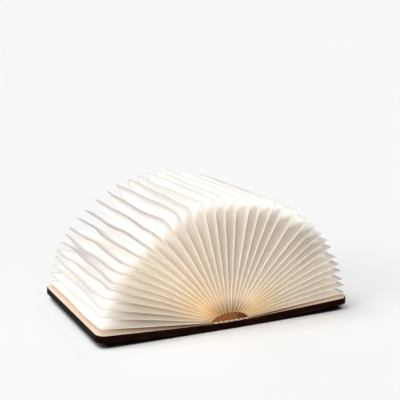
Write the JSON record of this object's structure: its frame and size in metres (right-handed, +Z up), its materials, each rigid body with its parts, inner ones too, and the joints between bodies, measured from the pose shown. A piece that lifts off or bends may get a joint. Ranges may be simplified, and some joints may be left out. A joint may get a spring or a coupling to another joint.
{
  "type": "folding book lamp",
  "caption": "Book-shaped folding lamp: two hinged covers on a lit spine, with a white paper bellows that fans out between them.",
  "frame": {"origin": "on the table under the middle of the spine", "axes": "+X across the open book to the right cover, +Y along the spine to the rear end with the charging socket, +Z up"},
  "size_m": [0.221, 0.14, 0.1049],
  "materials": {
    "cover_leather": "dark brown pebbled leather, semi-matt",
    "joint_leather": "dark brown leather, soft and matt",
    "cover_board": "raw fibreboard",
    "endpaper": "pale peach lining paper",
    "magnet": "nickel plate",
    "woven_flap": "brown woven cloth",
    "sleeve_paper": "translucent non-woven paper",
    "pleat_paper": "white non-woven paper, matt, lit from inside",
    "valley_paper": "white non-woven paper, matt, lit from inside",
    "tray_plastic": "white moulded plastic",
    "battery_foil": "silver foil pouch",
    "green_board": "green solder mask",
    "socket_steel": "drawn steel shell",
    "sensor_plastic": "black moulded case",
    "white_board": "white solder mask",
    "light_chip": "warm white light chips",
    "screw_steel": "zinc-plated steel",
    "diffuser_plastic": "milky translucent plastic"
  },
  "bodies": {
    "spine": {"spine_wrap": "cover_leather", "spine_tray": "tray_plastic", "battery": "battery_foil", "control_board": "green_board", "charging_socket": "socket_steel", "hall_sensor": "sensor_plastic", "light_strip": "white_board", "light_chips": "light_chip", "strip_screws": "screw_steel", "diffuser": "diffuser_plastic", "light_sleeve": "sleeve_paper", "front_end_flap": "woven_flap", "rear_end_flap": "woven_flap", "left_joint_leather": "joint_leather", "right_joint_leather": "joint_leather", "left_valley_folds": "valley_paper", "right_valley_folds": "valley_paper"},
    "left_cover": {"left_cover_wrap": "cover_leather", "left_cover_board": "cover_board", "left_endpaper": "endpaper", "left_magnets": "magnet", "trigger_magnet": "magnet"},
    "left_pleat_01": {"left_pleat_01": "pleat_paper"},
    "left_pleat_02": {"left_pleat_02": "pleat_paper"},
    "left_pleat_03": {"left_pleat_03": "pleat_paper"},
    "left_pleat_04": {"left_pleat_04": "pleat_paper"},
    "left_pleat_05": {"left_pleat_05": "pleat_paper"},
    "left_pleat_06": {"left_pleat_06": "pleat_paper"},
    "left_pleat_07": {"left_pleat_07": "pleat_paper"},
    "left_pleat_08": {"left_pleat_08": "pleat_paper"},
    "left_pleat_09": {"left_pleat_09": "pleat_paper"},
    "left_pleat_10": {"left_pleat_10": "pleat_paper"},
    "left_pleat_11": {"left_pleat_11": "pleat_paper"},
    "left_pleat_12": {"left_pleat_12": "pleat_paper"},
    "left_pleat_13": {"left_pleat_13": "pleat_paper"},
    "left_pleat_14": {"left_pleat_14": "pleat_paper"},
    "left_pleat_15": {"left_pleat_15": "pleat_paper"},
    "left_pleat_16": {"left_pleat_16": "pleat_paper"},
    "left_pleat_17": {"left_pleat_17": "pleat_paper"},
    "right_cover": {"right_cover_wrap": "cover_leather", "right_cover_board": "cover_board", "right_endpaper": "endpaper", "right_magnets": "magnet"},
    "right_pleat_01": {"right_pleat_01": "pleat_paper"},
    "right_pleat_02": {"right_pleat_02": "pleat_paper"},
    "right_pleat_03": {"right_pleat_03": "pleat_paper"},
    "right_pleat_04": {"right_pleat_04": "pleat_paper"},
    "right_pleat_05": {"right_pleat_05": "pleat_paper"},
    "right_pleat_06": {"right_pleat_06": "pleat_paper"},
    "right_pleat_07": {"right_pleat_07": "pleat_paper"},
    "right_pleat_08": {"right_pleat_08": "pleat_paper"},
    "right_pleat_09": {"right_pleat_09": "pleat_paper"},
    "right_pleat_10": {"right_pleat_10": "pleat_paper"},
    "right_pleat_11": {"right_pleat_11": "pleat_paper"},
    "right_pleat_12": {"right_pleat_12": "pleat_paper"},
    "right_pleat_13": {"right_pleat_13": "pleat_paper"},
    "right_pleat_14": {"right_pleat_14": "pleat_paper"},
    "right_pleat_15": {"right_pleat_15": "pleat_paper"},
    "right_pleat_16": {"right_pleat_16": "pleat_paper"},
    "right_pleat_17": {"right_pleat_17": "pleat_paper"}
  },
  "joints": [
    {"name": "left_hinge", "type": "hinge", "parent": "spine", "child": "left_cover", "pos_m": [-0.013, 0, 0.00285], "axis": [0, 1, 0], "range_deg": [-98.5, 87.2], "deforming": ["left_joint_leather", "left_valley_folds", "light_sleeve", "front_end_flap", "rear_end_flap"]},
    {"name": "left_pleat_01_fold", "type": "hinge", "parent": "spine", "child": "left_pleat_01", "pos_m": [-0.013, 0, 0.00285], "axis": [0, 1, 0], "range_deg": [-3.53, 3.13]},
    {"name": "left_pleat_02_fold", "type": "hinge", "parent": "spine", "child": "left_pleat_02", "pos_m": [-0.013, 0, 0.00285], "axis": [0, 1, 0], "range_deg": [-8.74, 7.74]},
    {"name": "left_pleat_03_fold", "type": "hinge", "parent": "spine", "child": "left_pleat_03", "pos_m": [-0.013, 0, 0.00285], "axis": [0, 1, 0], "range_deg": [-15.11, 13.39]},
    {"name": "left_pleat_04_fold", "type": "hinge", "parent": "spine", "child": "left_pleat_04", "pos_m": [-0.013, 0, 0.00285], "axis": [0, 1, 0], "range_deg": [-20.91, 18.52]},
    {"name": "left_pleat_05_fold", "type": "hinge", "parent": "spine", "child": "left_pleat_05", "pos_m": [-0.013, 0, 0.00285], "axis": [0, 1, 0], "range_deg": [-27.28, 24.16]},
    {"name": "left_pleat_06_fold", "type": "hinge", "parent": "spine", "child": "left_pleat_06", "pos_m": [-0.013, 0, 0.00285], "axis": [0, 1, 0], "range_deg": [-34.81, 30.83]},
    {"name": "left_pleat_07_fold", "type": "hinge", "parent": "spine", "child": "left_pleat_07", "pos_m": [-0.013, 0, 0.00285], "axis": [0, 1, 0], "range_deg": [-42.35, 37.49]},
    {"name": "left_pleat_08_fold", "type": "hinge", "parent": "spine", "child": "left_pleat_08", "pos_m": [-0.013, 0, 0.00285], "axis": [0, 1, 0], "range_deg": [-50.46, 44.68]},
    {"name": "left_pleat_09_fold", "type": "hinge", "parent": "spine", "child": "left_pleat_09", "pos_m": [-0.013, 0, 0.00285], "axis": [0, 1, 0], "range_deg": [-56.83, 50.32]},
    {"name": "left_pleat_10_fold", "type": "hinge", "parent": "spine", "child": "left_pleat_10", "pos_m": [-0.013, 0, 0.00285], "axis": [0, 1, 0], "range_deg": [-63.21, 55.96]},
    {"name": "left_pleat_11_fold", "type": "hinge", "parent": "spine", "child": "left_pleat_11", "pos_m": [-0.013, 0, 0.00285], "axis": [0, 1, 0], "range_deg": [-68.42, 60.58]},
    {"name": "left_pleat_12_fold", "type": "hinge", "parent": "spine", "child": "left_pleat_12", "pos_m": [-0.013, 0, 0.00285], "axis": [0, 1, 0], "range_deg": [-72.48, 64.17]},
    {"name": "left_pleat_13_fold", "type": "hinge", "parent": "spine", "child": "left_pleat_13", "pos_m": [-0.013, 0, 0.00285], "axis": [0, 1, 0], "range_deg": [-77.11, 68.27]},
    {"name": "left_pleat_14_fold", "type": "hinge", "parent": "spine", "child": "left_pleat_14", "pos_m": [-0.013, 0, 0.00285], "axis": [0, 1, 0], "range_deg": [-81.75, 72.37]},
    {"name": "left_pleat_15_fold", "type": "hinge", "parent": "spine", "child": "left_pleat_15", "pos_m": [-0.013, 0, 0.00285], "axis": [0, 1, 0], "range_deg": [-85.8, 75.97]},
    {"name": "left_pleat_16_fold", "type": "hinge", "parent": "spine", "child": "left_pleat_16", "pos_m": [-0.013, 0, 0.00285], "axis": [0, 1, 0], "range_deg": [-90.44, 80.07]},
    {"name": "left_pleat_17_fold", "type": "hinge", "parent": "spine", "child": "left_pleat_17", "pos_m": [-0.013, 0, 0.00285], "axis": [0, 1, 0], "range_deg": [-95.65, 84.69]},
    {"name": "right_hinge", "type": "hinge", "parent": "spine", "child": "right_cover", "pos_m": [0.013, 0, 0.00285], "axis": [0, -1, 0], "range_deg": [-98.5, 87.2], "deforming": ["right_joint_leather", "right_valley_folds"]},
    {"name": "right_pleat_01_fold", "type": "hinge", "parent": "spine", "child": "right_pleat_01", "pos_m": [0.013, 0, 0.00285], "axis": [0, -1, 0], "range_deg": [-2.95, 2.61]},
    {"name": "right_pleat_02_fold", "type": "hinge", "parent": "spine", "child": "right_pleat_02", "pos_m": [0.013, 0, 0.00285], "axis": [0, -1, 0], "range_deg": [-10.48, 9.28]},
    {"name": "right_pleat_03_fold", "type": "hinge", "parent": "spine", "child": "right_pleat_03", "pos_m": [0.013, 0, 0.00285], "axis": [0, -1, 0], "range_deg": [-17.43, 15.44]},
    {"name": "right_pleat_04_fold", "type": "hinge", "parent": "spine", "child": "right_pleat_04", "pos_m": [0.013, 0, 0.00285], "axis": [0, -1, 0], "range_deg": [-23.81, 21.08]},
    {"name": "right_pleat_05_fold", "type": "hinge", "parent": "spine", "child": "right_pleat_05", "pos_m": [0.013, 0, 0.00285], "axis": [0, -1, 0], "range_deg": [-30.18, 26.72]},
    {"name": "right_pleat_06_fold", "type": "hinge", "parent": "spine", "child": "right_pleat_06", "pos_m": [0.013, 0, 0.00285], "axis": [0, -1, 0], "range_deg": [-39.45, 34.93]},
    {"name": "right_pleat_07_fold", "type": "hinge", "parent": "spine", "child": "right_pleat_07", "pos_m": [0.013, 0, 0.00285], "axis": [0, -1, 0], "range_deg": [-46.98, 41.6]},
    {"name": "right_pleat_08_fold", "type": "hinge", "parent": "spine", "child": "right_pleat_08", "pos_m": [0.013, 0, 0.00285], "axis": [0, -1, 0], "range_deg": [-53.36, 47.24]},
    {"name": "right_pleat_09_fold", "type": "hinge", "parent": "spine", "child": "right_pleat_09", "pos_m": [0.013, 0, 0.00285], "axis": [0, -1, 0], "range_deg": [-58.57, 51.86]},
    {"name": "right_pleat_10_fold", "type": "hinge", "parent": "spine", "child": "right_pleat_10", "pos_m": [0.013, 0, 0.00285], "axis": [0, -1, 0], "range_deg": [-63.79, 56.47]},
    {"name": "right_pleat_11_fold", "type": "hinge", "parent": "spine", "child": "right_pleat_11", "pos_m": [0.013, 0, 0.00285], "axis": [0, -1, 0], "range_deg": [-69, 61.09]},
    {"name": "right_pleat_12_fold", "type": "hinge", "parent": "spine", "child": "right_pleat_12", "pos_m": [0.013, 0, 0.00285], "axis": [0, -1, 0], "range_deg": [-74.21, 65.71]},
    {"name": "right_pleat_13_fold", "type": "hinge", "parent": "spine", "child": "right_pleat_13", "pos_m": [0.013, 0, 0.00285], "axis": [0, -1, 0], "range_deg": [-80.01, 70.84]},
    {"name": "right_pleat_14_fold", "type": "hinge", "parent": "spine", "child": "right_pleat_14", "pos_m": [0.013, 0, 0.00285], "axis": [0, -1, 0], "range_deg": [-84.06, 74.43]},
    {"name": "right_pleat_15_fold", "type": "hinge", "parent": "spine", "child": "right_pleat_15", "pos_m": [0.013, 0, 0.00285], "axis": [0, -1, 0], "range_deg": [-88.12, 78.02]},
    {"name": "right_pleat_16_fold", "type": "hinge", "parent": "spine", "child": "right_pleat_16", "pos_m": [0.013, 0, 0.00285], "axis": [0, -1, 0], "range_deg": [-92.18, 81.61]},
    {"name": "right_pleat_17_fold", "type": "hinge", "parent": "spine", "child": "right_pleat_17", "pos_m": [0.013, 0, 0.00285], "axis": [0, -1, 0], "range_deg": [-96.23, 85.2]}
  ],
  "couplings": [
    {"joint": "left_pleat_01_fold", "follows": "left_hinge", "ratio": 0.035294},
    {"joint": "left_pleat_02_fold", "follows": "left_hinge", "ratio": 0.088235},
    {"joint": "left_pleat_03_fold", "follows": "left_hinge", "ratio": 0.15294},
    {"joint": "left_pleat_04_fold", "follows": "left_hinge", "ratio": 0.21176},
    {"joint": "left_pleat_05_fold", "follows": "left_hinge", "ratio": 0.27647},
    {"joint": "left_pleat_06_fold", "follows": "left_hinge", "ratio": 0.35294},
    {"joint": "left_pleat_07_fold", "follows": "left_hinge", "ratio": 0.42941},
    {"joint": "left_pleat_08_fold", "follows": "left_hinge", "ratio": 0.51176},
    {"joint": "left_pleat_09_fold", "follows": "left_hinge", "ratio": 0.57647},
    {"joint": "left_pleat_10_fold", "follows": "left_hinge", "ratio": 0.64118},
    {"joint": "left_pleat_11_fold", "follows": "left_hinge", "ratio": 0.69412},
    {"joint": "left_pleat_12_fold", "follows": "left_hinge", "ratio": 0.73529},
    {"joint": "left_pleat_13_fold", "follows": "left_hinge", "ratio": 0.78235},
    {"joint": "left_pleat_14_fold", "follows": "left_hinge", "ratio": 0.82941},
    {"joint": "left_pleat_15_fold", "follows": "left_hinge", "ratio": 0.87059},
    {"joint": "left_pleat_16_fold", "follows": "left_hinge", "ratio": 0.91765},
    {"joint": "left_pleat_17_fold", "follows": "left_hinge", "ratio": 0.97059},
    {"joint": "right_pleat_01_fold", "follows": "right_hinge", "ratio": 0.029412},
    {"joint": "right_pleat_02_fold", "follows": "right_hinge", "ratio": 0.10588},
    {"joint": "right_pleat_03_fold", "follows": "right_hinge", "ratio": 0.17647},
    {"joint": "right_pleat_04_fold", "follows": "right_hinge", "ratio": 0.24118},
    {"joint": "right_pleat_05_fold", "follows": "right_hinge", "ratio": 0.30588},
    {"joint": "right_pleat_06_fold", "follows": "right_hinge", "ratio": 0.4},
    {"joint": "right_pleat_07_fold", "follows": "right_hinge", "ratio": 0.47647},
    {"joint": "right_pleat_08_fold", "follows": "right_hinge", "ratio": 0.54118},
    {"joint": "right_pleat_09_fold", "follows": "right_hinge", "ratio": 0.59412},
    {"joint": "right_pleat_10_fold", "follows": "right_hinge", "ratio": 0.64706},
    {"joint": "right_pleat_11_fold", "follows": "right_hinge", "ratio": 0.7},
    {"joint": "right_pleat_12_fold", "follows": "right_hinge", "ratio": 0.75294},
    {"joint": "right_pleat_13_fold", "follows": "right_hinge", "ratio": 0.81176},
    {"joint": "right_pleat_14_fold", "follows": "right_hinge", "ratio": 0.85294},
    {"joint": "right_pleat_15_fold", "follows": "right_hinge", "ratio": 0.89412},
    {"joint": "right_pleat_16_fold", "follows": "right_hinge", "ratio": 0.93529},
    {"joint": "right_pleat_17_fold", "follows": "right_hinge", "ratio": 0.97647}
  ]
}
